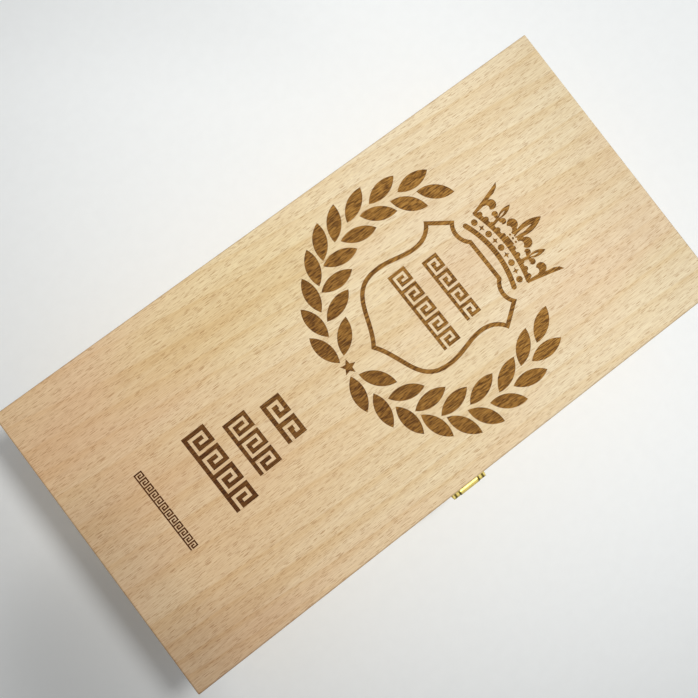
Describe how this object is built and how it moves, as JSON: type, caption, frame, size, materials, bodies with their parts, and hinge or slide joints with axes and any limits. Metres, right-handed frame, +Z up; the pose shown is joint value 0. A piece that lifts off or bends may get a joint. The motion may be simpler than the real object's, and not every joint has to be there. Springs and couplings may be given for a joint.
{
  "type": "wine box",
  "caption": "Hinged wooden box with two bottle bays, notched bottle and neck rests, a brass swing clasp and a lid engraved with a crowned crest in a laurel wreath.",
  "frame": {"origin": "middle of the underside of the closed box", "axes": "+X along the box, -Y to the front with the clasp, +Z up"},
  "size_m": [0.36, 0.1893, 0.1],
  "materials": {
    "engraved_lid": "fine-sanded beech veneer on plywood, laser-engraved to a dark brown",
    "plywood": "sanded beech-faced plywood",
    "beech_wall": "sanded solid beech, bare",
    "beech_inner": "sanded solid beech, bare",
    "brass_sheet": "polished brass-plated sheet",
    "brass_pin": "drawn brass wire, peened ends",
    "brass_screw": "brass-plated countersunk screws",
    "brass_hasp": "polished brass-plated sheet"
  },
  "bodies": {
    "box": {"base_panel": "plywood", "front_wall": "beech_wall", "back_wall": "beech_wall", "left_end_wall": "beech_wall", "right_end_wall": "beech_wall", "divider": "beech_inner", "bottle_rest": "beech_inner", "neck_rest": "beech_inner", "hinge_left_box_leaf": "brass_sheet", "hinge_right_box_leaf": "brass_sheet", "hinge_left_pin": "brass_pin", "hinge_right_pin": "brass_pin", "hinge_box_screws": "brass_screw", "catch_plate": "brass_sheet", "catch_screws": "brass_screw"},
    "lid": {"lid_panel": "engraved_lid", "lid_front_rail": "beech_wall", "lid_back_rail": "beech_wall", "lid_left_rail": "beech_wall", "lid_right_rail": "beech_wall", "hinge_left_lid_leaf": "brass_sheet", "hinge_right_lid_leaf": "brass_sheet", "hinge_lid_screws": "brass_screw", "clasp_plate": "brass_sheet", "clasp_pin": "brass_pin", "clasp_screws": "brass_screw"},
    "hasp": {"hasp": "brass_hasp"}
  },
  "joints": [
    {"name": "lid_hinge", "type": "hinge", "parent": "box", "child": "lid", "pos_m": [0, 0.0921, 0.075], "axis": [-1, 0, 0], "range_deg": [0, 180]},
    {"name": "hasp_hinge", "type": "hinge", "parent": "lid", "child": "hasp", "pos_m": [0, -0.0925, 0.086], "axis": [-1, 0, 0], "range_deg": [-7, 165]}
  ]
}
